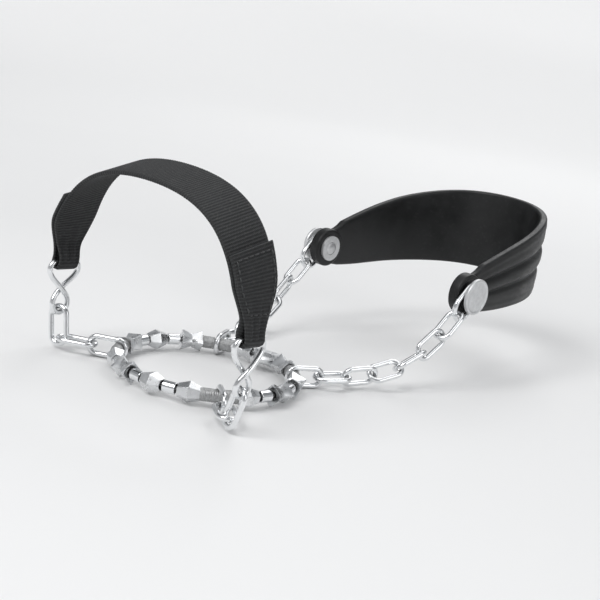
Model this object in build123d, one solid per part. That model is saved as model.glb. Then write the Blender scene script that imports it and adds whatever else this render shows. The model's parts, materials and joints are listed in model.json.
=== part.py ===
from build123d import *
import os
from math import cos, degrees, radians, sin, tan

# One shoe ice cleat in the shape it has on a boot, toe towards -Y, wearer's left towards +X.
# Millimetres. The origin is the centre of the traction ring, on the ground.

# --- Traction ring -------------------------------------------------------------------------
RING_RADIUS = 36.0          # from the ring's centre to the middle of the cable
CABLE_RADIUS = 1.2
BEAD_LENGTH = 9.0
BEAD_BORE_RADIUS = 1.7
DIAMOND_MID_RADIUS = 4.2    # hexagon corner at the bead's ridge
DIAMOND_END_RADIUS = 2.6
SPIKE_END_SIDE = 6.75       # square end, its corners reach the ground
SPIKE_WAIST_SIDE = 4.9
SPIKE_DISH_RADIUS = 4.1     # the conical dish that leaves the four end corners sharp
SPIKE_DISH_DEPTH = 1.1
SPACER_RADIUS = 2.3
SPACER_BORE_RADIUS = 1.45
SPACER_LENGTH = 5.2
SPACER_FILLET = 0.3
COLLAR_RADIUS = 2.6
COLLAR_LENGTH = 3.2
COLLAR_NECK_RADIUS = 1.9
COLLAR_NECK_LENGTH = 1.3
COLLAR_BORE_RADIUS = 1.3
COLLAR_CHAMFER = 0.35
CLASP_LENGTH = 12.6
CLASP_WIDTH = 4.8
CLASP_HEIGHT = 5.4
CLASP_PLATE_WIDTH = 13.0
CLASP_PLATE_LENGTH = 11.0
CLASP_PLATE_THICKNESS = 3.2
CLASP_FILLET = 1.2
CLASP_CHAMFER = 0.4
CLASP_PLATE_CHAMFER = 0.9
CRIMP_CLEARANCE = 0.05      # the cable in the clasp

# Places round the ring in degrees, from the toe towards the wearer's left.
DIAMOND_ANGLES = [-36.3, 12.1, 36.3, 72.0, -97.6]
DIAMOND_ROLLS = [47, 64, 81, 98, 115]
SPIKE_ANGLES = [-12.1, 97.6, 123.2, 160.4, -160.4, -123.2, -72.0]
SPIKE_ROLLS = [45, 45, 20, 45, 60, 45, 10]
SPACER_ANGLES = [0.0, 24.2, -24.2, 84.8, -84.8, 110.4, -110.4]
FRONT_LINK_ANGLE = 54.0
REAR_LINK_ANGLE = 142.0
CLASP_ANGLE = 180.0
COLLAR_GAP_ANGLE = 2.5      # from the middle of a chain link to the end of a collar's neck

# --- Chains --------------------------------------------------------------------------------
WIRE_RADIUS = 1.1
LINK_LENGTH = 17.4
LINK_WIDTH = 9.5
LINK_GAP = 0.4              # play between two links
FRONT_HEADING = 55.0        # from straight ahead towards the side
FRONT_RISE_HEADING = 100.0  # the third link stands up along the sole's side
FRONT_RISE = 75.0
FRONT_FACING = (0.3, 0.95, 0)   # the third link's flat side
REAR_HEADINGS = [26, 22, 22, 20, 14, 8, 2]      # from straight back towards the side
REAR_CLIMBS = [0, 2, 6, 16, 28, 38, 44]
REAR_TILTS = [0, 6, 18, 34, 52, 70, 88]         # the links turn with the sole's edge
END_LOOP_LENGTH = 19.8
END_LOOP_WIDTH = 13.0

# --- Toe strap and hooks -------------------------------------------------------------------
HOOK_EYE_RADIUS = 3.55
HOOK_NECK = 2.1             # the arms cross this far above the eye
HOOK_BAR_HEIGHT = 17.6      # above the eye's centre
HOOK_BAR_HALF = 7.0
HOOK_BUTT_GAP = 0.3         # between the wire's two ends
WEBBING_WIDTH = 20.0
WEBBING_THICKNESS = 1.8
STRAP_LOOP_WIDTH = 9.6      # the webbing bunches up between the hook's arms
STRAP_TOP = 84.0
STRAP_LEAN = 15.0           # the webbing's front edge is lower, as the toe slopes
STRAP_LAP = 30.0            # height of the end that is folded back and sewn down
STRAP_BUNCH = 20.0          # height over which it widens from its loop to its full width
ARCH_SHOULDER = 0.78        # the arch's widest-curving point, as parts of its half width
ARCH_SHOULDER_HEIGHT = 0.72 # and of its height
ARCH_START = (-0.03, 1.0)   # its direction at the bar
LOOP_PLAY = 0.25            # between the webbing's loop and the bar in it

# --- Heel strap and rivets -----------------------------------------------------------------
HEEL_BACK = 202.0
HEEL_WALL = 3.5
HEEL_BACK_LOW = 37.0
HEEL_BACK_HIGH = 76.0
HEEL_QUARTER = 0.84         # half width, as a part of the rivets', at the heel's quarter
HEEL_QUARTER_DEPTH = 24.0   # of which point lies this far ahead of the back
HEEL_SAG = 8.0              # half way back, the lower edge is this far below the rivets
HEEL_SWELL = 24.0           # and the upper edge this far above them
HEEL_LOW_START = (1, -0.1)  # the lower edge's direction beside the boss
HEEL_LOW_END = (1, 0.15)    # and behind the heel
HEEL_HIGH_START = (1, 0.35)
HEEL_HIGH_END = (1, 0.25)
HEEL_FLANK = 8.6            # half the wall's height where it meets the boss
HEEL_FLANK_SHIFT = 2.0      # the lower edge leaves the boss this far behind its centre
HEEL_OVERRUN = 5.0          # the side outline runs on this far behind the heel
BOSS_RADIUS = 9.0
BOSS_THICKNESS = 5.0
BOSS_PROUD = 0.6            # the boss stands this far out of the wall
SHANK_RADIUS = 3.0
CAP_RADIUS = 8.0
CAP_THICKNESS = 1.8
CAP_CHAMFER = 0.5
WASHER_RADIUS = 6.0
WASHER_THICKNESS = 1.2
PLAY = 0.4                  # between the end loop and the faces beside it
FIT = 0.1                   # clearance of the shank in its hole

# --- Sizes that follow from those above ----------------------------------------------------
RING_HEIGHT = SPIKE_END_SIDE / 2 ** 0.5         # the cable's height: spike corners touch the ground
COLLAR_WHOLE = COLLAR_LENGTH + COLLAR_NECK_LENGTH
COLLAR_MIDDLE_ANGLE = COLLAR_GAP_ANGLE + degrees(COLLAR_WHOLE / 2 / RING_RADIUS)
WIRE_REACH = WIRE_RADIUS + LINK_GAP / 2         # from a hinge to the wire on either side of it
LINK_REACH = LINK_LENGTH / 2 - WIRE_RADIUS      # from a link's middle to its end wire
LINK_PITCH = 2 * (LINK_REACH - WIRE_REACH)
LOOP_REACH = END_LOOP_LENGTH / 2 - WIRE_RADIUS
CABLE_TO_LINK = CABLE_RADIUS + LINK_GAP + WIRE_RADIUS

SIDES = {"left": 1, "right": -1}
ON_BASE = (Align.CENTER, Align.CENTER, Align.MIN)
UP = Vector(0, 0, 1)
SIDEWAYS = Vector(1, 0, 0)
PARTS = {}


def heading_vector(heading, climb, start):
    """A unit vector: heading turns from start (-1 ahead, +1 back) towards the left, climb lifts it."""
    h, c = radians(heading), radians(climb)
    return Vector(sin(h) * cos(c), start * cos(h) * cos(c), sin(c))


def ring_point(angle):
    a = radians(angle)
    return Vector(RING_RADIUS * sin(a), -RING_RADIUS * cos(a), RING_HEIGHT)


def ring_tangent(angle):
    a = radians(angle)
    return Vector(cos(a), sin(a), 0)


def on_ring(shape, angle, roll=0.0):
    """Puts a shape that is built along Z round its middle onto the cable."""
    inward = UP.cross(ring_tangent(angle)) * -1
    plane = Plane(origin=ring_point(angle), x_dir=inward, z_dir=ring_tangent(angle))
    return plane.location * Rotation(0, 0, roll) * shape


def across(side, vector):
    """The same vector on the wearer's left (+1) or, mirrored, on the right (-1)."""
    return Vector(side * vector.X, vector.Y, vector.Z)


def level_normal(direction, wanted):
    """The unit vector nearest to wanted that is square to direction."""
    return (wanted - direction * wanted.dot(direction)).normalized()


# --- Pieces of the traction ring -----------------------------------------------------------
def ring_cable():
    return Pos(0, 0, RING_HEIGHT) * Torus(RING_RADIUS, CABLE_RADIUS)


def diamond_bead():
    half = BEAD_LENGTH / 2
    ends = [Pos(0, 0, z) * RegularPolygon(DIAMOND_END_RADIUS, 6) for z in (-half, half)]
    ridge = RegularPolygon(DIAMOND_MID_RADIUS, 6)
    bead = loft([ends[0], ridge], ruled=True) + loft([ridge, ends[1]], ruled=True)
    return bead - Cylinder(BEAD_BORE_RADIUS, 2 * BEAD_LENGTH)


def spike_bead():
    half = BEAD_LENGTH / 2
    end = Rectangle(SPIKE_END_SIDE, SPIKE_END_SIDE)
    waist = Rectangle(SPIKE_WAIST_SIDE, SPIKE_WAIST_SIDE)
    bead = loft([Pos(0, 0, -half) * end, waist], ruled=True)
    bead += loft([waist, Pos(0, 0, half) * end], ruled=True)
    dish = Pos(0, 0, half - SPIKE_DISH_DEPTH / 2) * Cone(0, SPIKE_DISH_RADIUS, SPIKE_DISH_DEPTH)
    bead -= dish + mirror(dish, about=Plane.XY)
    return bead - Cylinder(BEAD_BORE_RADIUS, 2 * BEAD_LENGTH)


def spacer():
    tube = Cylinder(SPACER_RADIUS, SPACER_LENGTH)
    tube = fillet(tube.edges().filter_by(GeomType.CIRCLE), SPACER_FILLET)
    return tube - Cylinder(SPACER_BORE_RADIUS, 2 * SPACER_LENGTH)


def collar():
    """A crimped collar whose neck ends at z = 0 and whose wide part lies beyond it."""
    neck = Cylinder(COLLAR_NECK_RADIUS, COLLAR_WHOLE - COLLAR_CHAMFER, align=ON_BASE)
    wide = Cylinder(COLLAR_RADIUS, COLLAR_LENGTH, align=ON_BASE)
    wide = chamfer(wide.edges().filter_by(GeomType.CIRCLE), COLLAR_CHAMFER)
    body = neck + Pos(0, 0, COLLAR_NECK_LENGTH) * wide
    return body - Cylinder(COLLAR_BORE_RADIUS, 3 * COLLAR_WHOLE)


def collars():
    """Eight collars, one on each side of the four chain links, facing them with their necks."""
    found = []
    for link_angle in (FRONT_LINK_ANGLE, REAR_LINK_ANGLE, -FRONT_LINK_ANGLE, -REAR_LINK_ANGLE):
        for turn in (1, -1):
            angle = link_angle + turn * COLLAR_MIDDLE_ANGLE
            body = Pos(0, 0, -COLLAR_WHOLE / 2) * collar()
            found.append(on_ring(body if turn > 0 else Rotation(180, 0, 0) * body, angle))
    return Compound(children=found)


def clasp():
    """The crimped bar that closes the cable, on its oval plate."""
    bar = Box(CLASP_WIDTH, CLASP_HEIGHT, CLASP_LENGTH)
    bar = fillet(bar.edges().filter_by(Axis.Z), CLASP_FILLET)
    ends = bar.faces().sort_by(Axis.Z)
    bar = chamfer(ends[0].edges() + ends[-1].edges(), CLASP_CHAMFER)
    plate = extrude(Ellipse(CLASP_PLATE_WIDTH / 2, CLASP_PLATE_LENGTH / 2), CLASP_PLATE_THICKNESS)
    plate = chamfer(plate.edges().filter_by(GeomType.ELLIPSE), CLASP_PLATE_CHAMFER)
    plate = Rotation(90, 0, 0) * Pos(0, 0, -CLASP_PLATE_THICKNESS / 2) * plate
    cable = Pos(0, 0, RING_HEIGHT) * Torus(RING_RADIUS, CABLE_RADIUS + CRIMP_CLEARANCE)
    return on_ring(bar + plate, CLASP_ANGLE) - cable


# --- Chain pieces --------------------------------------------------------------------------
def wire_loop(length, width):
    """A closed wire loop with round ends, lying in XY with its length along X."""
    bow = width / 2 - WIRE_RADIUS
    path = SlotOverall(length - 2 * WIRE_RADIUS, 2 * bow).wire()
    return sweep(Plane(path @ 0, z_dir=path % 0) * Circle(WIRE_RADIUS), path=path)


def place_loop(loop, middle, direction, normal):
    return Plane(origin=middle, x_dir=direction, z_dir=normal).location * loop


def front_links():
    """Middle, direction and normal of the left front chain's three links."""
    out = heading_vector(FRONT_HEADING, 0, -1)
    rise = heading_vector(FRONT_RISE_HEADING, FRONT_RISE, -1)
    cable = ring_point(FRONT_LINK_ANGLE)
    first = cable + out * (LINK_REACH - CABLE_TO_LINK)
    second = first + out * (2 * LINK_REACH - 2 * WIRE_REACH)
    corner = second + out * LINK_REACH
    third = corner + rise * (LINK_REACH - 2 * WIRE_REACH)
    return [
        (first, out, level_normal(out, ring_tangent(FRONT_LINK_ANGLE))),
        (second, out, UP),
        (third, rise, level_normal(rise, Vector(*FRONT_FACING))),
    ]


def rear_links():
    """Middle, direction and normal of the left rear chain's seven links."""
    links = []
    hinge = None
    for number in range(len(REAR_HEADINGS)):
        direction = heading_vector(REAR_HEADINGS[number], REAR_CLIMBS[number], 1)
        if hinge is None:
            middle = ring_point(REAR_LINK_ANGLE) + direction * (LINK_REACH - CABLE_TO_LINK)
        else:
            middle = hinge + direction * (LINK_PITCH / 2)
        hinge = middle + direction * (LINK_PITCH / 2)
        tilt = radians(REAR_TILTS[number])
        surface = level_normal(direction, UP * cos(tilt) + SIDEWAYS * sin(tilt))
        flat = number % 2 == 1
        links.append((middle, direction, surface if flat else surface.cross(direction)))
    return links


def end_loop_place():
    """Middle, direction and normal of the left end loop, and the rivet's centre inside it."""
    last_middle, direction, _ = REAR_LINKS[-1]
    hinge = last_middle + direction * (LINK_PITCH / 2)
    climb = radians(REAR_CLIMBS[-1])
    direction = Vector(0, cos(climb), sin(climb))
    middle = hinge + direction * (LOOP_REACH - WIRE_REACH)
    rivet = middle + direction * (LOOP_REACH - WIRE_RADIUS - SHANK_RADIUS - LINK_GAP)
    return middle, direction, SIDEWAYS, rivet


def hinge_points():
    """The axes that the left and right chains share, each parallel to X, by joint level."""
    out = heading_vector(FRONT_HEADING, 0, -1)
    front = [ring_point(FRONT_LINK_ANGLE) - out * (CABLE_RADIUS + LINK_GAP / 2)]
    front.append(FRONT_LINKS[0][0] + out * (LINK_PITCH / 2))
    front.append(FRONT_LINKS[1][0] + out * LINK_REACH)
    front.append(FRONT_LINKS[2][0] + FRONT_LINKS[2][1] * (LINK_PITCH / 2))
    back = REAR_LINKS[0][1]
    rear = [ring_point(REAR_LINK_ANGLE) - back * (CABLE_RADIUS + LINK_GAP / 2)]
    rear += [middle + direction * (LINK_PITCH / 2) for middle, direction, _ in REAR_LINKS]
    return front, rear


FRONT_LINKS = front_links()
REAR_LINKS = rear_links()
LOOP_MIDDLE, LOOP_DIRECTION, LOOP_NORMAL, RIVET = end_loop_place()
FRONT_HINGES, REAR_HINGES = hinge_points()
EYE = FRONT_HINGES[3] + UP * (HOOK_EYE_RADIUS - WIRE_REACH)
BAR = EYE + UP * HOOK_BAR_HEIGHT


# --- Hooks and straps ----------------------------------------------------------------------
def hook():
    """One wire bent to a figure of eight: a small eye below, crossing arms, a bar above.

    The wire's two ends butt together in the middle of the bar, inside the webbing's loop.
    Each point of the half path is (along Y, up, outward), from the eye's bottom to the wire's end.
    """
    eye, bar, top = HOOK_EYE_RADIUS, HOOK_BAR_HALF, HOOK_BAR_HEIGHT
    neck = eye + HOOK_NECK
    passing = WIRE_RADIUS + 0.1
    half = [
        (0.72 * eye, -0.69 * eye, 0.0),
        (eye, 0.0, -0.2),
        (0.80 * eye, 0.66 * eye, -0.5 * passing),
        (0.0, neck, -passing),
        (-0.50 * bar, neck + 3.4, -0.8 * passing),
        (-0.90 * bar, neck + 6.6, -0.3 * passing),
        (-bar, top - 2.6, -0.1),
        (-0.78 * bar, top - 0.35, 0.0),
        (-0.35 * bar, top, 0.0),
        (-HOOK_BUTT_GAP / 2, top, 0.0),
    ]
    first = [Vector(x, y, z) for y, z, x in reversed(half)]
    second = [Vector(-x, -y, z) for y, z, x in half]
    path = Spline(*first, Vector(0, 0, -eye), *second)
    return sweep(Plane(path @ 0, z_dir=path % 0) * Circle(WIRE_RADIUS), path=path)


def toe_arch(layer):
    """The arch over the toe from hook bar to hook bar, seen from the front and closed below."""
    x, low, high = BAR.X + layer, BAR.Z, STRAP_TOP - WEBBING_THICKNESS / 2 + layer
    shoulder = (ARCH_SHOULDER * x, low + ARCH_SHOULDER_HEIGHT * (high - low))
    side = Spline((x, low), shoulder, (0, high), tangents=[ARCH_START, (-1, 0)])
    return make_face([side, mirror(side, about=Plane.YZ), Line((x, low), (-x, low))])


def toe_strap():
    """Webbing over the toe, doubled at its ends, each end looped round a hook's bar."""
    t, y, z = WEBBING_THICKNESS, BAR.Y, BAR.Z
    depth = 3 * WEBBING_WIDTH
    rise = depth * tan(radians(STRAP_LEAN))
    front = Plane(origin=(0, y - depth / 2, -rise / 2), x_dir=(1, 0, 0), z_dir=(0, -1, 0)).location
    run = Vector(0, depth, rise)

    def band(inner, outer):
        solid = extrude(front * toe_arch(outer), run.length, dir=run.normalized())
        return solid - extrude(front * toe_arch(inner), run.length, dir=run.normalized())

    wide, narrow, over = WEBBING_WIDTH / 2, STRAP_LOOP_WIDTH / 2, STRAP_TOP + WEBBING_WIDTH
    half = [(narrow, z), (narrow, z + STRAP_BUNCH / 6), (wide, z + STRAP_BUNCH), (wide, over)]
    outline = [(y + w, h) for w, h in half] + [(y - w, h) for w, h in reversed(half)]
    silhouette = extrude(Plane.YZ * make_face(Polyline(*outline, close=True)), 2 * BAR.X, both=True)
    lap = Pos(0, y, z + STRAP_LAP / 2) * Box(4 * BAR.X, depth, STRAP_LAP)
    strap = (band(-t / 2, t / 2) + (band(t / 2, 1.5 * t) & lap)) & silhouette
    hole = WIRE_RADIUS + LOOP_PLAY
    for side in (1, -1):
        bar = Plane(origin=(side * BAR.X, y, z), z_dir=(0, 1, 0)).location
        strap += bar * Cylinder(hole + t, STRAP_LOOP_WIDTH)
        strap -= bar * Cylinder(hole, depth)
    return strap


def heel_outline(layer):
    """The heel strap's inside, or that plus layer, from above; straight lines close it in front."""
    x = RIVET.X - WIRE_RADIUS - PLAY - BOSS_PROUD - HEEL_WALL + layer
    front, start, back = RIVET.Y - 4 * BOSS_RADIUS, RIVET.Y + 2 * BOSS_RADIUS, HEEL_BACK - HEEL_WALL + layer
    quarter = (HEEL_QUARTER * x, back - HEEL_QUARTER_DEPTH)
    bend = Spline((x, start), quarter, (0, back), tangents=[(0, 1), (-1, 0)])
    left = [Line((x, front), (x, start)), bend]
    right = [mirror(edge, about=Plane.YZ) for edge in left]
    return make_face(left + right + [Line((x, front), (-x, front))])


def heel_side_view():
    """The heel strap's outline from the side, from its boss to behind the heel."""
    y, z, beyond = RIVET.Y, RIVET.Z, HEEL_BACK + HEEL_OVERRUN
    middle = (y + HEEL_BACK) / 2
    low = Spline((y + HEEL_FLANK_SHIFT, z - HEEL_FLANK), (middle, z - HEEL_SAG), (beyond, HEEL_BACK_LOW),
                 tangents=[HEEL_LOW_START, HEEL_LOW_END])
    high = Spline((y - HEEL_FLANK_SHIFT, z + HEEL_FLANK), (middle, z + HEEL_SWELL), (beyond, HEEL_BACK_HIGH),
                  tangents=[HEEL_HIGH_START, HEEL_HIGH_END])
    return make_face([low, Line(low @ 1, high @ 1), high, Line(high @ 0, low @ 0)])


def heel_strap():
    """Moulded rubber sling round the heel, with a round boss and a hole at each end."""
    tall = 2 * HEEL_BACK_HIGH
    wall = extrude(heel_outline(HEEL_WALL), tall) - extrude(heel_outline(0), tall)
    sling = wall & extrude(Plane.YZ * heel_side_view(), HEEL_BACK, both=True)
    for side in (1, -1):
        middle = RIVET.X - WIRE_RADIUS - PLAY - BOSS_THICKNESS / 2
        boss = Plane(origin=(side * middle, RIVET.Y, RIVET.Z), z_dir=(1, 0, 0)).location
        sling += boss * Cylinder(BOSS_RADIUS, BOSS_THICKNESS)
        sling -= boss * Cylinder(SHANK_RADIUS + FIT, 2 * BOSS_THICKNESS)
    return sling


def rivet_cap():
    """The round cap beside the left end loop, with its shank through the loop and the boss."""
    inner = RIVET.X + WIRE_RADIUS + PLAY
    cap = Cylinder(CAP_RADIUS, CAP_THICKNESS, align=ON_BASE)
    cap = chamfer(cap.faces().sort_by(Axis.Z)[-1].edges(), CAP_CHAMFER)
    length = 2 * WIRE_RADIUS + 2 * PLAY + BOSS_THICKNESS + WASHER_THICKNESS
    shank = Pos(0, 0, -length) * Cylinder(SHANK_RADIUS, length, align=ON_BASE)
    place = Plane(origin=(inner, RIVET.Y, RIVET.Z), x_dir=(0, 1, 0), z_dir=(1, 0, 0)).location
    return place * (cap + shank)


def rivet_washer():
    """The washer on the inside of the left boss."""
    face = RIVET.X - WIRE_RADIUS - PLAY - BOSS_THICKNESS
    washer = Cylinder(WASHER_RADIUS, WASHER_THICKNESS) - Cylinder(SHANK_RADIUS + FIT, 2 * WASHER_THICKNESS)
    place = Plane(origin=(face - WASHER_THICKNESS / 2, RIVET.Y, RIVET.Z), z_dir=(1, 0, 0)).location
    return place * washer


def add_ring():
    PARTS["ring_cable"] = ring_cable()
    PARTS["crimp_collars"] = collars()
    PARTS["crimp_clasp"] = clasp()
    for number, (angle, roll) in enumerate(zip(DIAMOND_ANGLES, DIAMOND_ROLLS), 1):
        PARTS[f"diamond_bead_{number}"] = on_ring(diamond_bead(), angle, roll)
    for number, (angle, roll) in enumerate(zip(SPIKE_ANGLES, SPIKE_ROLLS), 1):
        PARTS[f"spike_bead_{number}"] = on_ring(spike_bead(), angle, roll)
    for number, angle in enumerate(SPACER_ANGLES, 1):
        PARTS[f"spacer_{number}"] = on_ring(spacer(), angle)


def add_chains():
    link = wire_loop(LINK_LENGTH, LINK_WIDTH)
    loop = wire_loop(END_LOOP_LENGTH, END_LOOP_WIDTH)
    for name, side in SIDES.items():
        for where, links in (("front", FRONT_LINKS), ("rear", REAR_LINKS)):
            for number, (middle, direction, normal) in enumerate(links, 1):
                place = [across(side, vector) for vector in (middle, direction, normal)]
                PARTS[f"{where}_{name}_link_{number}"] = place_loop(link, *place)
        PARTS[f"rear_{name}_end_loop"] = place_loop(
            loop, across(side, LOOP_MIDDLE), across(side, LOOP_DIRECTION), LOOP_NORMAL)


def add_straps():
    left_hook = Pos(EYE) * hook()
    PARTS["hook_left"] = left_hook
    PARTS["hook_right"] = mirror(left_hook, about=Plane.YZ)
    PARTS["toe_strap"] = toe_strap()
    PARTS["heel_strap"] = heel_strap()
    for piece, shape in (("rivet_cap", rivet_cap()), ("rivet_washer", rivet_washer())):
        PARTS[f"{piece}_left"] = shape
        PARTS[f"{piece}_right"] = mirror(shape, about=Plane.YZ)


add_ring()
add_chains()
add_straps()
os.makedirs("parts", exist_ok=True)
for node, shape in PARTS.items():
    export_step(shape, f"parts/{node}.step")
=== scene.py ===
"""Looks of the shoe ice cleat: steel ring and chains, webbing over the toe, rubber at the heel."""
import json
import math

import bmesh
import bpy
import numpy as np
from mathutils import Matrix, Vector
from mathutils.bvhtree import BVHTree


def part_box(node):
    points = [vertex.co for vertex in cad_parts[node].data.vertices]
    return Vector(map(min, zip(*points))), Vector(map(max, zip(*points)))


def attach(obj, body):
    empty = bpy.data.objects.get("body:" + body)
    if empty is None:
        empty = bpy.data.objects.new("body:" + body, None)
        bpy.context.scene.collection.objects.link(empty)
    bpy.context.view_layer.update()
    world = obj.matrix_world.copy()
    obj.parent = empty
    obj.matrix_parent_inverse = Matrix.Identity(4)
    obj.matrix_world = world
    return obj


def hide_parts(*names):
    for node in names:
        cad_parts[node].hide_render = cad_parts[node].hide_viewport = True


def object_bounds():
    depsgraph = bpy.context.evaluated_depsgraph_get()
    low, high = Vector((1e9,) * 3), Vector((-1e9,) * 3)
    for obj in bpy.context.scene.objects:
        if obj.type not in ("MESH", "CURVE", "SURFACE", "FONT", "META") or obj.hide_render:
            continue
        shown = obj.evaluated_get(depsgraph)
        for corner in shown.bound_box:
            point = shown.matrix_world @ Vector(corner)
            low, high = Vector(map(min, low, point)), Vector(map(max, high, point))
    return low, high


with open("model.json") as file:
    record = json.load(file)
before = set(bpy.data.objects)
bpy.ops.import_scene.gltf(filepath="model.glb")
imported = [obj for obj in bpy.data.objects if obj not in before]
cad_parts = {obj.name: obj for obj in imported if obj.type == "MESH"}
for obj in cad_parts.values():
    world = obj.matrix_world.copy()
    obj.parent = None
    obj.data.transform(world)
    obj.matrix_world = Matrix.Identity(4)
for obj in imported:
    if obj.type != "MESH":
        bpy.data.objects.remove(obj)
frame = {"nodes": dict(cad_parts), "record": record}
cad_low, cad_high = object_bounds()
NODES = frame["nodes"]
MM = 0.001
UP = Vector((0, 0, 1))
SIDES = {"left": 1, "right": -1}
RIB_PITCH = 1.25  # millimetres along the webbing
YARN_PITCH = 0.72  # millimetres across the webbing


# --- Node materials ------------------------------------------------------------------------
class Finish:
    """One procedural material, built from small steps. A value is a number, a colour or a node's output."""

    def __init__(self, name):
        self.material = bpy.data.materials.new(name)
        self.material.use_nodes = True
        self.tree = self.material.node_tree
        self.tree.nodes.clear()
        self.surface = self.add("ShaderNodeBsdfPrincipled")
        output = self.add("ShaderNodeOutputMaterial")
        self.tree.links.new(self.surface.outputs[0], output.inputs["Surface"])
        coordinates = self.add("ShaderNodeTexCoord")
        self.place = coordinates.outputs["Object"]
        self.uv = coordinates.outputs["UV"]

    def add(self, kind, **settings):
        node = self.tree.nodes.new(kind)
        for key, value in settings.items():
            setattr(node, key, value)
        return node

    def feed(self, socket, value):
        if isinstance(value, bpy.types.NodeSocket):
            self.tree.links.new(value, socket)
        else:
            socket.default_value = value

    def set(self, **inputs):
        """Sets the surface's inputs; an underscore stands for a space."""
        for key, value in inputs.items():
            self.feed(self.surface.inputs[key.replace("_", " ")], value)

    def math(self, operation, a, b=0.0):
        node = self.add("ShaderNodeMath", operation=operation)
        self.feed(node.inputs[0], a)
        self.feed(node.inputs[1], b)
        return node.outputs[0]

    def axes(self, vector):
        node = self.add("ShaderNodeSeparateXYZ")
        self.feed(node.inputs[0], vector)
        return node.outputs

    def stretch(self, vector, scale):
        node = self.add("ShaderNodeMapping")
        self.feed(node.inputs["Vector"], vector)
        node.inputs["Scale"].default_value = scale
        return node.outputs[0]

    def noise(self, size, detail=3.0, vector=None, roughness=0.5):
        """Noise with blotches about size metres across."""
        node = self.add("ShaderNodeTexNoise")
        self.feed(node.inputs["Vector"], vector or self.place)
        node.inputs["Scale"].default_value = 1 / size
        node.inputs["Detail"].default_value = detail
        node.inputs["Roughness"].default_value = roughness
        return node.outputs[0]

    def spread(self, value, low, high, start=0.3, end=0.7):
        """Maps value from start..end to low..high."""
        node = self.add("ShaderNodeMapRange")
        self.feed(node.inputs["Value"], value)
        for socket, number in zip(("From Min", "From Max", "To Min", "To Max"), (start, end, low, high)):
            self.feed(node.inputs[socket], number)
        return node.outputs[0]

    def mix(self, factor, first, second):
        node = self.add("ShaderNodeMix", data_type="RGBA")
        self.feed(node.inputs[0], factor)
        self.feed(node.inputs[6], first)
        self.feed(node.inputs[7], second)
        return node.outputs[2]

    def hollows(self, distance):
        """1 in the open, towards 0 where faces are close together."""
        node = self.add("ShaderNodeAmbientOcclusion", samples=6)
        node.inputs["Distance"].default_value = distance
        return node.outputs["AO"]

    def bump(self, height, strength, distance, normal=None):
        node = self.add("ShaderNodeBump")
        self.feed(node.inputs["Height"], height)
        node.inputs["Strength"].default_value = strength
        node.inputs["Distance"].default_value = distance
        if normal is not None:
            self.feed(node.inputs["Normal"], normal)
        return node.outputs[0]


def grey(value, blue=0.0):
    return (value * (1 - blue), value, value * (1 + blue), 1.0)


def steel(name, bright, dull, rough, grain, hollow_shade=0.45):
    """Bare or plated steel: cloudy roughness, fine scratches, and painted shade where pieces touch."""
    f = Finish(name)
    cloudy = f.noise(3.1 * MM, 4.0)
    fine = f.noise(0.22 * MM, 3.0)
    scratches = f.noise(0.5 * MM, 2.0, f.stretch(f.place, (1.0, 0.12, 0.35)))
    clean = f.mix(f.spread(cloudy, 0.0, 1.0), grey(dull, 0.01), grey(bright, 0.015))
    # Painted shade: the base colour darkens towards a near-black grey where faces are close together; the
    # last argument sets how far.
    painted_light = f.mix(f.spread(f.hollows(1.6 * MM), hollow_shade, 0.0, 0.25, 0.85), clean, grey(0.09, -0.04))
    uneven = f.math("ADD", f.spread(cloudy, rough * 0.75, rough * 1.3), f.spread(scratches, 0.0, 0.07))
    relief = f.bump(scratches, grain, 0.02 * MM, f.bump(fine, grain * 0.6, 0.01 * MM))
    f.set(Base_Color=painted_light, Metallic=1.0, Roughness=uneven, Normal=relief)
    return f.material


def collar_steel():
    """Dull, lightly blasted steel with a grey haze, and painted shade where faces are close together."""
    f = Finish("collar_steel")
    cloudy = f.noise(1.6 * MM, 5.0)
    pitted = f.noise(0.18 * MM, 4.0)
    clean = f.mix(f.spread(cloudy, 0.0, 1.0), grey(0.36), grey(0.5, 0.01))
    # Painted shade: the colour darkens towards a near-black grey where faces are close together.
    shaded_in_hollows = f.mix(f.spread(f.hollows(1.2 * MM), 0.6, 0.0, 0.2, 0.8), clean, grey(0.08, -0.03))
    f.set(Base_Color=shaded_in_hollows, Metallic=0.9, Roughness=f.spread(pitted, 0.42, 0.62),
          Normal=f.bump(pitted, 0.35, 0.04 * MM))
    return f.material


def cap_steel():
    """The rivet's cap: a fine turned face that scatters the light, with a few marks."""
    f = Finish("cap_steel")
    cloudy = f.noise(2.4 * MM, 4.0)
    fine = f.noise(0.12 * MM, 3.0)
    marks = f.noise(0.9 * MM, 2.0, f.stretch(f.place, (1.0, 0.25, 1.0)))
    clean = f.mix(f.spread(cloudy, 0.0, 1.0), grey(0.62, 0.01), grey(0.74, 0.01))
    f.set(Base_Color=clean, Metallic=0.85, Normal=f.bump(fine, 0.25, 0.02 * MM),
          Roughness=f.math("ADD", f.spread(fine, 0.36, 0.46), f.spread(marks, 0.0, 0.12)))
    return f.material


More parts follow.
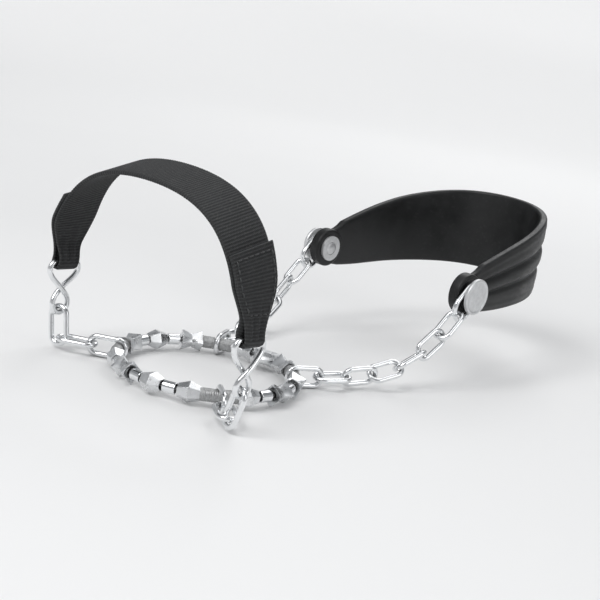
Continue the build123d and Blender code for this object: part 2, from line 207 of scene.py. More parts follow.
def webbing():
    """Black polyester webbing. Its UV runs along the strap and across it, in millimetres."""
    f = Finish("webbing")
    along, over, _ = f.axes(f.uv)
    rib = f.math("SINE", f.math("MULTIPLY", along, 2 * math.pi / RIB_PITCH))
    yarn = f.math("SINE", f.math("MULTIPLY", over, 2 * math.pi / YARN_PITCH))
    crossing = f.math("MULTIPLY", rib, yarn)
    fibre = f.noise(0.16, 3.0, f.stretch(f.uv, (0.35, 1.0, 1.0)))
    patches = f.noise(7 * MM, 3.0)
    # Painted highlight: the colour is lighter on the crests of the ribs and where the weave stands up.
    crest = f.math("POWER", f.math("ADD", f.math("MULTIPLY", rib, 0.5), 0.5), 1.5)
    weave = f.math("ADD", f.math("MULTIPLY", crossing, 0.35), f.math("MULTIPLY", fibre, 0.35))
    painted_light = f.math("MULTIPLY", crest, f.math("ADD", weave, 0.35))
    dark = f.mix(f.spread(patches, 0.0, 1.0), grey(0.006, 0.05), grey(0.012, 0.05))
    lit = f.mix(f.spread(painted_light, 0.0, 0.9, 0.1, 0.7), dark, grey(0.036, 0.06))
    dusty = f.mix(f.spread(f.noise(0.9 * MM, 5.0), 0.0, 0.16, 0.55, 0.75), lit, grey(0.16, -0.05))
    f.set(Base_Color=dusty, Roughness=f.spread(fibre, 0.62, 0.85), Sheen_Weight=0.05, Sheen_Roughness=0.4,
          Sheen_Tint=grey(0.8, 0.04), Normal=f.bump(weave, 0.55, 0.12 * MM))
    return f.material


def thread():
    f = Finish("stitching_thread")
    twist = f.noise(0.14 * MM, 2.0, f.stretch(f.place, (1.0, 1.0, 0.4)))
    f.set(Base_Color=f.mix(f.spread(twist, 0.0, 1.0), grey(0.025), grey(0.07, 0.03)), Roughness=0.55,
          Normal=f.bump(twist, 0.5, 0.05 * MM))
    return f.material


def rubber():
    """Satin black moulded rubber with a little chalky bloom in its grooves."""
    f = Finish("rubber")
    patches = f.noise(9 * MM, 4.0)
    grain = f.noise(0.25 * MM, 3.0)
    scuffs = f.noise(1.4 * MM, 5.0, f.stretch(f.place, (1.0, 0.3, 1.0)))
    black = f.mix(f.spread(patches, 0.0, 1.0), grey(0.008, 0.04), grey(0.014, 0.04))
    bloom = f.mix(f.spread(scuffs, 0.0, 0.08, 0.55, 0.72), black, grey(0.10, 0.01))
    rough = f.math("ADD", f.spread(patches, 0.34, 0.44), f.spread(scuffs, 0.0, 0.12, 0.4, 0.75))
    f.set(Base_Color=bloom, Roughness=rough, Specular_IOR_Level=0.35,
          Normal=f.bump(grain, 0.3, 0.04 * MM, f.bump(patches, 0.25, 0.25 * MM)))
    return f.material


# --- Meshes --------------------------------------------------------------------------------
def grid(rows, columns, wrap_rows, wrap_columns):
    """Quads over points that are numbered row by row."""
    faces = []
    for r in range(rows if wrap_rows else rows - 1):
        for c in range(columns if wrap_columns else columns - 1):
            r2, c2 = (r + 1) % rows, (c + 1) % columns
            faces.append((r * columns + c, r * columns + c2, r2 * columns + c2, r2 * columns + c))
    return faces


def added(name, data):
    """A new object in the scene."""
    made = bpy.data.objects.new(name, data)
    bpy.context.scene.collection.objects.link(made)
    return made


def piece(name, points, faces, material, body, replaced=(), slot=None, uv=None):
    """A smooth mesh that rides on a CAD body. uv is one pair for each point."""
    mesh = bpy.data.meshes.new(name)
    mesh.from_pydata([tuple(p) for p in points], [], faces)
    if uv is not None:
        layer = mesh.uv_layers.new(name="strap")
        corners = np.zeros(len(mesh.loops), int)
        mesh.loops.foreach_get("vertex_index", corners)
        layer.data.foreach_set("uv", np.array(uv, float)[corners].ravel())
    work = bmesh.new()
    work.from_mesh(mesh)
    bmesh.ops.remove_doubles(work, verts=work.verts, dist=1e-7)
    bmesh.ops.recalc_face_normals(work, faces=work.faces)
    work.to_mesh(mesh)
    work.free()
    mesh.polygons.foreach_set("use_smooth", [True] * len(mesh.polygons))
    mesh.materials.append(material)
    made = added(name, mesh)
    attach(made, body)
    if replaced:
        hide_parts(*replaced)
    return made


def crisp(made):
    """Keeps a faceted piece's flat faces flat, with its narrow edges rounded."""
    flat = made.modifiers.new("flat_faces", "WEIGHTED_NORMAL")
    flat.weight = 100
    return made


def pose(middle, along, towards):
    """A matrix with Z along the first direction and X as near as possible to the second."""
    z = along.normalized()
    x = (towards - z * towards.dot(z)).normalized()
    return Matrix.Translation(middle) @ Matrix((x, z.cross(x), z)).transposed().to_4x4()


def turned(place, profile, segments=64):
    """Points and faces of a closed profile of (radius, height), turned round the Z of place."""
    points = []
    for step in range(segments):
        a = 2 * math.pi * step / segments
        points += [place @ Vector((r * math.cos(a), r * math.sin(a), h)) for r, h in profile]
    return points, grid(segments, len(profile), True, True)


def joined(parts):
    """Several (points, faces) as one."""
    points, faces = [], []
    for some, quads in parts:
        faces += [tuple(i + len(points) for i in quad) for quad in quads]
        points += some
    return points, faces


def smooth_step(value, start, end):
    t = min(max((value - start) / (end - start), 0.0), 1.0)
    return t * t * (3 - 2 * t)


def surface(node):
    mesh = NODES[node].data
    return BVHTree.FromPolygons([v.co for v in mesh.vertices], [tuple(p.vertices) for p in mesh.polygons])


def middle_of(node):
    low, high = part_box(node)
    return (low + high) / 2


# --- The ring: cable, beads and collars ----------------------------------------------------
ring_low, ring_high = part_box("ring_cable")
RING_MIDDLE = (ring_low + ring_high) / 2
CABLE_RADIUS = (ring_high.z - ring_low.z) / 2
RING_RADIUS = (ring_high.x - ring_low.x) / 2 - CABLE_RADIUS
STRANDS = 6
CABLE_TURNS = 26


def ring_place(point):
    """The cable's middle beside a point, with Z along the cable and X outwards."""
    out = Vector((point.x - RING_MIDDLE.x, point.y - RING_MIDDLE.y, 0)).normalized()
    return pose(RING_MIDDLE + out * RING_RADIUS, UP.cross(out), out)


def cable_strands():
    """Six strands laid round a hidden core."""
    rows, around = CABLE_TURNS * 14, 8
    thick = CABLE_RADIUS * 0.36
    parts = []
    for strand in range(STRANDS):
        points = []
        for row in range(rows):
            a = 2 * math.pi * row / rows
            out = Vector((math.cos(a), math.sin(a), 0))
            lay = a * CABLE_TURNS + 2 * math.pi * strand / STRANDS
            for step in range(around):
                b = 2 * math.pi * step / around
                radial = (CABLE_RADIUS - thick) * math.cos(lay) + thick * math.cos(b)
                height = (CABLE_RADIUS - thick) * math.sin(lay) + thick * math.sin(b)
                points.append(RING_MIDDLE + out * (RING_RADIUS + radial) + UP * height)
        parts.append((points, grid(rows, around, True, True)))
    return joined(parts)


def outline(corners, rounding, on_arc, on_side):
    """Angle and distance of points on a regular polygon with rounded corners, corner distance 1."""
    half = math.pi / corners
    pivot = 1 - rounding / math.cos(half)
    found = []
    for corner in range(corners):
        turn = 2 * half * corner
        middle = Vector((pivot * math.cos(turn), pivot * math.sin(turn)))
        for step in range(on_arc + 1):
            a = turn - half + 2 * half * step / on_arc
            found.append(middle + Vector((rounding * math.cos(a), rounding * math.sin(a))))
        last = found[-1]
        turn += 2 * half
        first = Vector((pivot * math.cos(turn), pivot * math.sin(turn)))
        first += Vector((rounding * math.cos(turn - half), rounding * math.sin(turn - half)))
        found += [last.lerp(first, step / on_side) for step in range(1, on_side)]
    return [(math.atan2(p.y, p.x), p.length) for p in found]


def bead(node, corners, profile):
    """A faceted bead in a CAD bead's place. profile(distance) gives (radius, height) up one half."""
    along = ring_place(middle_of(node))
    inverse = along.inverted()
    spots = [inverse @ v.co for v in NODES[node].data.vertices]
    corner = max(spots, key=lambda p: round(math.hypot(p.x, p.y), 6))
    turned_by = math.atan2(corner.y, corner.x)
    points, length = [], 0
    shape = outline(corners, 0.05, 3, 6)
    for angle, distance in shape:
        half = profile(distance)
        whole = half + [(r, -h) for r, h in reversed(half)]
        length = len(whole)
        a = angle + turned_by
        points += [along @ Vector((r * math.cos(a), r * math.sin(a), h)) for r, h in whole]
    return points, grid(len(shape), length, True, True)


def spike_profile(distance):
    """Square ends that flare out from a rounder waist, dished so that their corners stand up."""
    half, bore, edge = 4.5, 1.7, 0.1
    end = 6.75 / 2 ** 0.5
    on_flat, on_corner, flat = 2.46, 2.88, 0.7071
    waist = on_flat + (on_corner - on_flat) * (distance - flat) / (1 - flat)
    dish_depth, dish_radius = 1.1, 4.1

    def side(h):
        return waist + (distance * end - waist) * h / half

    def dish(r):
        return half - dish_depth * max(0.0, 1 - r / dish_radius)

    rim = side(dish(distance * end))
    inner = [bore + (rim - 2 * edge - bore) * step / 5 for step in range(1, 6)]
    top = dish(rim)
    rise = [top - edge] + [top * step for step in (0.75, 0.5, 0.25)] + [0.12]
    return [(r * MM, h * MM) for r, h in (
        [(bore, 0.6), (bore, dish(bore) - 0.25), (bore + 0.2, dish(bore + 0.2))]
        + [(r, dish(r)) for r in inner] + [(rim - edge * 0.7, top), (side(top - edge), top - edge)]
        + [(side(h), h) for h in rise[1:]] + [(side(0.12) - 0.004, 0.04)])][::-1]


def diamond_profile(distance):
    """Two six-sided cones, base to base, with blunt ends."""
    half, bore = 4.5, 1.7
    end, ridge = 2.6, 4.2

    def side(h):
        return distance * (ridge + (end - ridge) * h / half)

    return [(r * MM, h * MM) for r, h in [
        (side(0.0) - 0.03, 0.0), (side(0.09) - 0.01, 0.09), (side(0.28), 0.28), (side(1.6), 1.6),
        (side(3.0), 3.0), (side(4.3), 4.3), (side(4.42) - 0.03, 4.43), (side(half) - 0.12, half),
        (bore + 0.3, half), (bore + 0.08, half - 0.07), (bore, half - 0.3), (bore, 2.0)]]


def collar_profile():
    """A neck and a wider barrel with three pressed rings. Heights start at the neck's end."""
    ridges = []
    for ring in range(3):
        start = 1.3 + 0.62 + ring * 0.72
        ridges += [(2.6, start), (2.47, start + 0.13), (2.47, start + 0.3), (2.6, start + 0.43)]
    return [(r * MM, h * MM) for r, h in (
        [(1.3, 0.0), (1.78, 0.0), (1.9, 0.12), (1.9, 1.2), (2.0, 1.3), (2.3, 1.3), (2.52, 1.42), (2.6, 1.62)]
        + ridges + [(2.6, 4.18), (2.52, 4.38), (2.3, 4.5), (1.45, 4.5), (1.3, 4.35)])]


def collar_places():
    """Where each collar of the CAD node is, with Z from its neck to its barrel."""
    centre = RING_MIDDLE
    spots = sorted((math.atan2(v.co.y - centre.y, v.co.x - centre.x), i)
                   for i, v in enumerate(NODES["crimp_collars"].data.vertices))
    groups = [[spots[0]]]
    for spot in spots[1:]:
        if spot[0] - groups[-1][-1][0] > math.radians(1.5):
            groups.append([])
        groups[-1].append(spot)
    places = []
    for group in groups:
        middle = (group[0][0] + group[-1][0]) / 2
        half = (group[-1][0] - group[0][0]) / 2
        place = ring_place(centre + Vector((math.cos(middle), math.sin(middle), 0)))
        inverse = place.inverted()
        wide = [s for s in (inverse @ NODES["crimp_collars"].data.vertices[i].co for _, i in group)
                if math.hypot(s.x, s.y) > 2.4 * MM]
        turn = 1 if sum(s.z for s in wide) > 0 else -1
        length = RING_RADIUS * math.tan(half)
        flip = Matrix.Rotation(0 if turn > 0 else math.pi, 4, "X")
        places.append(place @ flip @ Matrix.Translation((0, 0, -length)))
    return places


# --- Toe strap -----------------------------------------------------------------------------
WEB_HALF = 0.9 * MM
WEB_WIDTH = 20 * MM
LOOP_HALF_WIDTH = 4.8 * MM
LOOP_HOLE = 1.35 * MM
LAP_HEIGHT = 30 * MM
BUNCH_HEIGHT = 21 * MM
LEAN = math.tan(math.radians(15))
ROWS_PER_RIB = 6
RIB_RISE = 0.1 * MM
PLEAT = 0.42 * MM
strap_low, strap_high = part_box("toe_strap")
BAR = Vector((strap_high.x - LOOP_HOLE - 2 * WEB_HALF, (strap_low.y + strap_high.y) / 2,
              strap_low.z + LOOP_HOLE + 2 * WEB_HALF))


def arch_points():
    """The middle of the webbing's main layer from the left bar's height to the top, as (x, z)."""
    tree = surface("toe_strap")
    eye = Vector((0, BAR.y, BAR.z + 12 * MM))
    start = math.atan2(-8 * MM, BAR.x)
    inside = []
    for step in range(121):
        a = start + (math.pi / 2 - start) * step / 120
        hit = tree.ray_cast(eye, Vector((math.cos(a), 0, math.sin(a))))[0]
        inside.append(Vector((hit.x, hit.z)))
    middle = [Vector((BAR.x, BAR.z))]
    for before, here, after in zip(inside, inside[1:], inside[2:]):
        run = (after - before).normalized()
        middle.append(here + Vector((run.y, -run.x)) * WEB_HALF)
    middle.append(inside[-1] + Vector((0, WEB_HALF)))
    return middle


def resampled(points, step):
    """The same path with evenly spaced points."""
    lengths = [0.0]
    for a, b in zip(points, points[1:]):
        lengths.append(lengths[-1] + (b - a).length)
    count = max(2, round(lengths[-1] / step))
    wanted = np.linspace(0, lengths[-1], count + 1)
    columns = [np.interp(wanted, lengths, [p[i] for p in points]) for i in range(len(points[0]))]
    return [Vector(p) for p in zip(*columns)]


def shifted(path, shift):
    """A path of (x, z), moved outwards by shift(height above the bar)."""
    moved = []
    for index, point in enumerate(path):
        before, after = path[max(index - 1, 0)], path[min(index + 1, len(path) - 1)]
        run = (after - before).normalized()
        moved.append(point + Vector((run.y, -run.x)) * shift(point.y - BAR.z))
    return moved


def strap_path():
    """The webbing's whole middle line: lap, loop, over the toe, loop, lap."""
    arch = resampled(arch_points(), 0.5 * MM)
    loop_radius = LOOP_HOLE + WEB_HALF
    lap_shift = 2 * WEB_HALF + 0.12 * MM

    def main_shift(height):
        return -loop_radius * (1 - smooth_step(height, 0.5 * MM, 9 * MM))

    def outer_shift(height):
        return loop_radius + (lap_shift - loop_radius) * smooth_step(height, 0.5 * MM, 9 * MM)

    main = shifted(arch, main_shift)
    lap = shifted([p for p in arch if p.y - BAR.z < LAP_HEIGHT], outer_shift)
    bar = Vector((BAR.x, BAR.z))
    loop = [bar + Vector((math.cos(a), math.sin(a))) * loop_radius
            for a in (-math.pi * step / 14 for step in range(1, 14))]
    left = lap[::-1] + loop + main
    return left + [Vector((-p.x, p.y)) for p in reversed(left[:-1])]


def half_width(height):
    return LOOP_HALF_WIDTH + (WEB_WIDTH / 2 - LOOP_HALF_WIDTH) * smooth_step(height, 1.5 * MM, BUNCH_HEIGHT)


class Strap:
    """The webbing's middle surface, and the band of thick cloth round it."""

    def __init__(self):
        self.path = resampled(strap_path(), RIB_PITCH * MM / ROWS_PER_RIB)
        # The first loop's lowest point: the lap ends and the main layer starts there.
        self.turn = min(range(len(self.path) // 2), key=lambda i: self.path[i].y)

    def at(self, index, over):
        """The point over metres across from the middle line, the cloth's normal there, and its away side."""
        point = self.path[index]
        before = self.path[max(index - 1, 0)]
        after = self.path[min(index + 1, len(self.path) - 1)]
        run = (after - before).normalized()
        height = point.y - BAR.z
        lean = LEAN * smooth_step(height, 6 * MM, 34 * MM)
        width = Vector((0, 1, lean))
        normal = Vector((run.x, 0, run.y)).cross(width).normalized()
        on_lap = index < self.turn or index > len(self.path) - 1 - self.turn
        away = normal if on_lap else -normal
        share = over / half_width(height)
        bunched = 1 - smooth_step(height, 0, BUNCH_HEIGHT)
        pleat = PLEAT * bunched * math.cos(3 * math.pi * share) * smooth_step(height, -1 * MM, 3 * MM)
        middle = Vector((point.x, BAR.y, point.y)) + width * over + away * pleat
        return middle, normal, away

    def half_thickness(self, index):
        """Ribs across the webbing, and a fuller fold at each cut end."""
        rib = math.sin(2 * math.pi * index / ROWS_PER_RIB)
        from_end = min(index, len(self.path) - 1 - index) * RIB_PITCH * MM / ROWS_PER_RIB
        fuller = 0.35 * (1 - smooth_step(from_end, 0.4 * MM, 3 * MM))
        closed = 0.55 * (1 - smooth_step(from_end, 0, 0.5 * MM))
        return (WEB_HALF - 0.08 * MM) * (1 + fuller - closed) + RIB_RISE * rib

    def mesh(self):
        across, round_edge = 30, 5
        points, uv = [], []
        for index in range(len(self.path)):
            side = half_width(self.path[index].y - BAR.z)
            thick = self.half_thickness(index)
            flat = side - thick
            section = [(-flat + 2 * flat * k / across, thick) for k in range(across + 1)]
            edge = [math.pi * (0.5 - (k + 1) / (round_edge + 1)) for k in range(round_edge)]
            section += [(flat + thick * math.cos(a), thick * math.sin(a)) for a in edge]
            section += [(-y, -t) for y, t in section]
            for y, t in section:
                middle, normal, _ = self.at(index, y)
                points.append(middle + normal * t)
                uv.append((index * RIB_PITCH / ROWS_PER_RIB, y / side * WEB_WIDTH / 2 / MM))
        columns = len(section)
        faces = grid(len(self.path), columns, False, True)
        last = (len(self.path) - 1) * columns
        faces += [tuple(range(columns)), tuple(range(last, last + columns))]
        return points, faces, uv


THREAD_RADIUS = 0.3 * MM
THREAD_SINK = 0.16 * MM


def stitch(start, end, lift):
    """One stitch: a slim thread that dips into the cloth at both ends."""
    along = end - start
    side = along.cross(lift).normalized()
    points = []
    steps, around = 8, 8
    for row in range(steps + 1):
        t = row / steps
        bow = math.sin(math.pi * t)
        thick = THREAD_RADIUS * (0.45 + 0.55 * bow)
        middle = start + along * t + lift * (THREAD_RADIUS * bow - THREAD_SINK)
        points += [middle + (side * math.cos(a) + lift * math.sin(a)) * thick
                   for a in (2 * math.pi * k / around for k in range(around))]
    faces = grid(steps + 1, around, False, True)
    last = steps * around
    return points, faces + [tuple(range(around)), tuple(range(last, last + around))]


def strap_stitches(strap):
    """A row along both edges of each lap, joined across near the lap's end and above the bar."""
    found = []
    pitch, gap = 14, 4
    inset = 1.8 * MM
    lap_rows = [i for i in range(strap.turn) if strap.path[i].y - BAR.z > 9 * MM]
    first, last = lap_rows[pitch], lap_rows[-1]

    def sew(a, b):
        (start, _, up), (end, _, _) = strap.at(*a), strap.at(*b)
        top = max(strap.half_thickness(a[0]), strap.half_thickness(b[0]))
        found.append(stitch(start + up * top, end + up * top, up))

    for mirrored in (False, True):
        def row(i):
            return len(strap.path) - 1 - i if mirrored else i
        for sign in (-1, 1):
            for i in range(first, last, pitch):
                end = min(i + pitch - gap, last)
                wide = half_width(strap.path[i].y - BAR.z) - inset
                later = half_width(strap.path[end].y - BAR.z) - inset
                sew((row(i), sign * wide), (row(end), sign * later))
        for i in (first, last):
            inside = half_width(strap.path[i].y - BAR.z) - 2.0 * MM
            count = max(3, round(2 * inside / (2.6 * MM)))
            step = 2 * inside / count
            for k in range(count):
                sew((row(i), (k + 0.08) * step - inside), (row(i), (k + 0.82) * step - inside))
    return joined(found)


# --- Heel strap ----------------------------------------------------------------------------
HEEL_WALL = 3.5 * MM
RIVETS = {name: middle_of(f"rivet_washer_{name}") for name in SIDES}
CAP_THICK = 1.8 * MM
CAP_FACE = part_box("rivet_cap_left")[1].x
WIRE = 2.2 * MM
LOOP_PLAY = 0.4 * MM
LOOP_ROOM = WIRE + 2 * LOOP_PLAY
BOSS_FACE = CAP_FACE - CAP_THICK - LOOP_ROOM
BOSS_RADIUS = 9 * MM
BOSS_THICK = 5 * MM
BOSS_REACH = 8.3 * MM
GROOVES = (0.36, 0.66)


def last_inside(test, inside, outside):
    """The last height that passes a test, between one that does and one that doesn't."""
    halvings = 14
    for _ in range(halvings):
        half = (inside + outside) / 2
        if test(half):
            inside = half
        else:
            outside = half
    return inside


def heel_stations():
    """Along the sling from the left boss to the right: inner point (x, y), lower and upper edge."""
    tree = surface("heel_strap")
    rivet = RIVETS["left"]
    low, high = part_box("heel_strap")
    eye = Vector((0, rivet.y + (high.y - rivet.y) * 0.45, 0))
    start = math.atan2(rivet.y + 10.5 * MM - eye.y, rivet.x)
    stations = []
    for step in range(91):
        a = start + (math.pi / 2 - start) * step / 90
        out = Vector((math.cos(a), math.sin(a), 0))

        def cast(height):
            return tree.ray_cast(eye + UP * height, out)[0]
        reach = (rivet.z + (low.z + high.z) / 2) / 2
        known = next(h for h in np.linspace(reach - 8 * MM, reach + 14 * MM, 23) if cast(h))
        hit = cast(known)
        bottom = last_inside(cast, known, low.z - 5 * MM)
        top = last_inside(cast, known, high.z + 5 * MM)
        stations.append((hit.x, hit.y, bottom, top))
    first_x, first_y, first_bottom, first_top = stations[0]
    boss_bottom, boss_top = rivet.z - BOSS_REACH, rivet.z + BOSS_REACH
    ahead = []
    for step in range(10):
        t = step / 10
        bottom = boss_bottom + (first_bottom - boss_bottom) * t * t
        top = boss_top + (first_top - boss_top) * t * t
        ahead.append((first_x, rivet.y + (first_y - rivet.y) * t, bottom, top))
    left = ahead + stations
    return left + [(-x, y, b, t) for x, y, b, t in reversed(left[:-1])]


def rib_height(share, strength):
    """How far the outside stands out at a share of the height: three rounded ribs and a lip."""
    depth = 0.0
    for groove in GROOVES:
        depth -= math.exp(-((share - groove) / 0.045) ** 2)
    swell = 0.55 * math.cos(math.pi * (share - 0.5)) ** 2
    lips = 0.3 * (math.exp(-((share - 0.06) / 0.05) ** 2) + math.exp(-((share - 0.94) / 0.05) ** 2))
    crowns = 0.35 * sum(math.exp(-((share - c) / 0.1) ** 2) for c in (0.18, 0.51, 0.82))
    return (1.2 * depth + swell + lips + crowns) * MM * strength


def quarter(middle, start, radius, steps):
    """Points between the ends of a quarter turn that starts at an angle counted in quarters."""
    return [(middle[0] + radius * math.cos(a), middle[1] + radius * math.sin(a))
            for a in (math.pi / 2 * (start + k / steps) for k in range(1, steps))]


def heel_section(bottom, top, strength):
    """One closed section as (outwards, height): outside with its ribs, top edge, inside, bottom edge."""
    outer, rounding, inner = 64, 6, 12
    edge = 1.3 * MM
    low, high = bottom + edge, top - edge
    outside = []
    for k in range(outer + 1):
        share = k / outer
        outside.append((HEEL_WALL + rib_height(share, strength), low + (high - low) * share))
    section = outside + quarter((outside[-1][0] - edge, high), 0, edge, rounding)
    section += quarter((edge, high), 1, edge, rounding)
    section += [(0, high - (high - low) * k / inner) for k in range(inner + 1)]
    section += quarter((edge, low), 2, edge, rounding)
    return section + quarter((outside[0][0] - edge, low), 3, edge, rounding)


def heel_sling():
    """The moulded wall with ribs that run lengthwise and meet at the bosses."""
    stations = heel_stations()
    rivet_y = RIVETS["left"].y
    points, columns = [], 0
    for index, (x, y, bottom, top) in enumerate(stations):
        before, after = stations[max(index - 1, 0)], stations[min(index + 1, len(stations) - 1)]
        run = Vector((after[0] - before[0], after[1] - before[1], 0)).normalized()
        out = Vector((run.y, -run.x, 0))
        if out.dot(Vector((x, y - rivet_y - 25 * MM, 0))) < 0:
            out = -out
        section = heel_section(bottom, top, smooth_step(y - rivet_y, 5 * MM, 14 * MM))
        points += [Vector((x, y, 0)) + out * o + UP * h for o, h in section]
        columns = len(section)
    faces = grid(len(stations), columns, False, True)
    last = (len(stations) - 1) * columns
    return points, faces + [tuple(range(columns)), tuple(range(last, last + columns))]


def boss_profile():
    """The round end of the strap with its hole, rounded outside and stepped towards the wall."""
    r, t, hole, edge = BOSS_RADIUS, BOSS_THICK, 3.1 * MM, 0.9 * MM
    turned_edge = [(r - edge + edge * math.sin(a), t - edge + edge * math.cos(a))
                   for a in (math.pi / 2 * k / 6 for k in range(7))]
    back = [(r - edge + edge * math.cos(a), edge - edge * math.sin(a))
            for a in (math.pi / 2 * k / 6 for k in range(7))]
    face = [(hole, t - 0.3 * MM), (hole + 0.3 * MM, t), (5.4 * MM, t), (5.7 * MM, t - 0.25 * MM),
            (6.6 * MM, t - 0.25 * MM), (6.9 * MM, t)]
    return face + turned_edge + back + [(hole + 0.3 * MM, 0), (hole, 0.3 * MM)]


def cap_profile():
    """A riveted cap: shank, flat back, rounded rim, and a slightly sunk, domed face."""
    end = (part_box("rivet_cap_left")[0].x + CAP_THICK - CAP_FACE) / MM
    radius, shank, rounding, top = 8.0, 3.0, 0.55, CAP_THICK / MM
    rim = [(radius - rounding + rounding * math.cos(a), top - rounding + rounding * math.sin(a))
           for a in (math.pi / 2 * k / 6 for k in range(7))]
    shape = [(0.0, end), (shank - 0.2, end), (shank, end + 0.2), (shank, 0.0)]
    shape += [(radius - 0.2, 0.0), (radius, 0.2)] + rim
    shape += [(7.15, top), (6.85, 1.68), (6.7, 1.5), (6.4, 1.46), (5.0, 1.53), (3.0, 1.6), (0.0, 1.64)]
    return [(r * MM, h * MM) for r, h in shape]


# --- Putting it together -------------------------------------------------------------------
FINISHES = {
    "chain_steel": steel("chain_steel", 0.9, 0.8, 0.16, 0.22),
    "bead_steel": steel("bead_steel", 0.84, 0.7, 0.26, 0.4),
    "spacer_steel": steel("spacer_steel", 0.93, 0.86, 0.09, 0.12),
    "collar_steel": collar_steel(),
    "cap_steel": cap_steel(),
    "cable_steel": steel("cable_steel", 0.6, 0.45, 0.3, 0.3, 0.7),
    "webbing": webbing(),
    "thread": thread(),
    "rubber": rubber(),
}

piece("cable_strands", *cable_strands(), FINISHES["cable_steel"], "ring", ["ring_cable"], "chain_steel")
for number in range(1, 6):
    node = f"diamond_bead_{number}"
    facets = bead(node, 6, diamond_profile)
    crisp(piece(f"{node}_facets", *facets, FINISHES["bead_steel"], node, [node], "bead_steel"))
for number in range(1, 8):
    node = f"spike_bead_{number}"
    facets = bead(node, 4, spike_profile)
    crisp(piece(f"{node}_facets", *facets, FINISHES["bead_steel"], node, [node], "bead_steel"))
collars = joined([turned(place, collar_profile(), 48) for place in collar_places()])
piece("pressed_collars", *collars, FINISHES["collar_steel"], "ring", ["crimp_collars"], "collar_steel")

strap = Strap()
cloth_points, cloth_faces, cloth_uv = strap.mesh()
piece("toe_webbing", cloth_points, cloth_faces, FINISHES["webbing"], "hook_left", ["toe_strap"],
      "webbing", cloth_uv)
piece("toe_webbing_stitches", *strap_stitches(strap), FINISHES["thread"], "hook_left", slot="webbing")

piece("heel_sling", *heel_sling(), FINISHES["rubber"], "heel_strap", ["heel_strap"], "rubber")
for name, side in SIDES.items():
    rivet = RIVETS[name]
    outwards = Vector((side, 0, 0))
    boss = pose(Vector((side * (BOSS_FACE - BOSS_THICK), rivet.y, rivet.z)), outwards, UP)
    round_boss = turned(boss, boss_profile(), 96)
    piece(f"heel_boss_{name}", *round_boss, FINISHES["rubber"], "heel_strap", slot="rubber")
    cap = pose(Vector((side * (CAP_FACE - CAP_THICK), rivet.y, rivet.z)), outwards, UP)
    round_cap = turned(cap, cap_profile(), 96)
    piece(f"rivet_cap_{name}_turned", *round_cap, FINISHES["cap_steel"], "heel_strap",
          [f"rivet_cap_{name}"], "cap_steel")

SHOWN = {
    "spacer_": "spacer_steel",
    "crimp_clasp": "bead_steel",
    "front_": "chain_steel",
    "rear_": "chain_steel",
    "hook_": "chain_steel",
    "rivet_washer_": "cap_steel",
}
for name, node in NODES.items():
    for start, finish in SHOWN.items():
        if name.startswith(start):
            node.data.materials.clear()
            node.data.materials.append(FINISHES[finish])

# --- Floor, light and camera ---------------------------------------------------------------
object_middle = (cad_low + cad_high) / 2


def backdrop():
    """A pale floor that curves up to a wall all round. Its glow is dimmer in reflections than to the eye."""
    f = Finish("pale_floor")
    seen = f.add("ShaderNodeLightPath").outputs["Is Camera Ray"]
    x, y, _ = f.axes(f.place)
    away = f.math("SQRT", f.math("ADD", f.math("MULTIPLY", x, x), f.math("MULTIPLY", y, y)))
    glow = f.math("MULTIPLY", f.spread(away, 0.0, 0.52, 0.3, 2.0), f.spread(seen, 0.12, 1.0, 0.0, 1.0))
    f.set(Base_Color=f.mix(f.spread(f.noise(0.5), 0.0, 1.0), grey(0.82), grey(0.84)), Roughness=0.7,
          Emission_Color=grey(1.0), Emission_Strength=glow)
    around, flat, bend = 96, 1.3, 1.2
    section = [(0.0, 0.0), (0.6, 0.0), (flat, 0.0)]
    section += [(flat + bend * math.sin(a), bend - bend * math.cos(a))
                for a in (math.pi / 2 * k / 12 for k in range(1, 13))]
    floor = cad_low.z - 0.05 * MM
    points = []
    for step in range(around):
        a = 2 * math.pi * step / around
        points += [Vector((object_middle.x + r * math.cos(a), object_middle.y + r * math.sin(a), floor + h))
                   for r, h in section]
    mesh = bpy.data.meshes.new("floor")
    mesh.from_pydata([tuple(p) for p in points], [], grid(around, len(section), True, False))
    mesh.polygons.foreach_set("use_smooth", [True] * len(mesh.polygons))
    mesh.materials.append(f.material)
    made = added("floor", mesh)
    return made


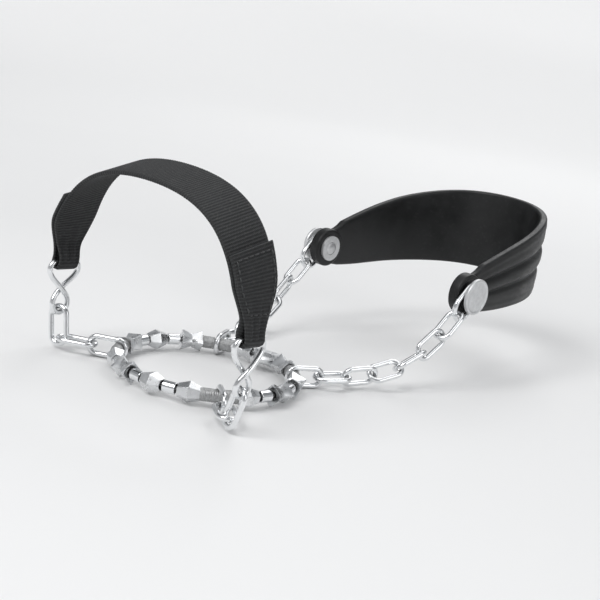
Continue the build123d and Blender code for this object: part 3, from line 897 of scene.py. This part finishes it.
def keep_below(floor):
    """The floor sinks in poses where a chain or strap hangs under the ring, as when the cleat is held up."""
    driver = floor.driver_add("location", 2).driver
    driver.type = "MIN"
    for body, nodes in frame["record"]["behaviour"]["bodies"].items():
        if "bead" in body or "spacer" in body:
            continue
        boxes = [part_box(node) for node in nodes]
        ys = (min(box[0].y for box in boxes), max(box[1].y for box in boxes))
        zs = (min(box[0].z for box in boxes), max(box[1].z for box in boxes))
        if body == "ring":
            zs = (cad_low.z, cad_low.z)
        for number, (y, z) in enumerate((y, z) for y in ys for z in zs):
            mark = added(f"low_mark_{body}_{number}", None)
            mark.location = (0, y, z)
            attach(mark, body)
            reading = driver.variables.new()
            reading.type = "TRANSFORMS"
            reading.targets[0].id = mark
            reading.targets[0].transform_type = "LOC_Z"
            reading.targets[0].transform_space = "WORLD_SPACE"


def direction(azimuth, elevation):
    """From the object towards a viewer at an azimuth and elevation, in degrees."""
    a, e = math.radians(azimuth), math.radians(elevation)
    return Vector((math.sin(a) * math.cos(e), -math.cos(a) * math.cos(e), math.sin(e)))


def softbox(name, azimuth, elevation, distance, size, power):
    """A square soft light that faces the object from an azimuth and elevation."""
    light = bpy.data.lights.new(name, "AREA")
    light.shape = "SQUARE"
    light.size = size
    light.energy = power
    back = direction(azimuth, elevation)
    made = added(name, light)
    made.location = object_middle + back * distance
    made.rotation_mode = "QUATERNION"
    made.rotation_quaternion = (-back).to_track_quat("-Z", "Y")


keep_below(backdrop())
softbox("key", -5, 48, 1.3, 0.7, 9)
softbox("fill", 95, 28, 1.3, 0.8, 3)
softbox("back", 205, 42, 1.4, 0.8, 5)
softbox("top", 0, 88, 1.3, 1.2, 4)

world = bpy.data.worlds.new("soft_room")
bpy.context.scene.world = world
world.use_nodes = True
world.node_tree.nodes["Background"].inputs["Color"].default_value = (0.93, 0.96, 1.0, 1.0)
world.node_tree.nodes["Background"].inputs["Strength"].default_value = 0.25

VIEW_AZIMUTH, VIEW_ELEVATION, VIEW_ROLL = 40, 13, 10
VIEW_DISTANCE = 0.55
AIM_SHIFT = Vector((-0.021, -0.015, 0))  # metres to the camera's right and up
camera = bpy.data.cameras.new("camera")
camera.lens = 75
camera.clip_start = 0.01
camera_object = added("camera", camera)
back = direction(VIEW_AZIMUTH, VIEW_ELEVATION)
facing = (-back).to_track_quat("-Z", "Y").to_matrix().to_4x4()
roll = Matrix.Rotation(math.radians(VIEW_ROLL), 4, "Z")
turn = facing @ roll
aim = object_middle + turn.to_3x3() @ AIM_SHIFT
camera_object.matrix_world = Matrix.Translation(aim + back * VIEW_DISTANCE) @ turn
bpy.context.scene.camera = camera_object
bpy.context.scene.view_settings.view_transform = "Standard"
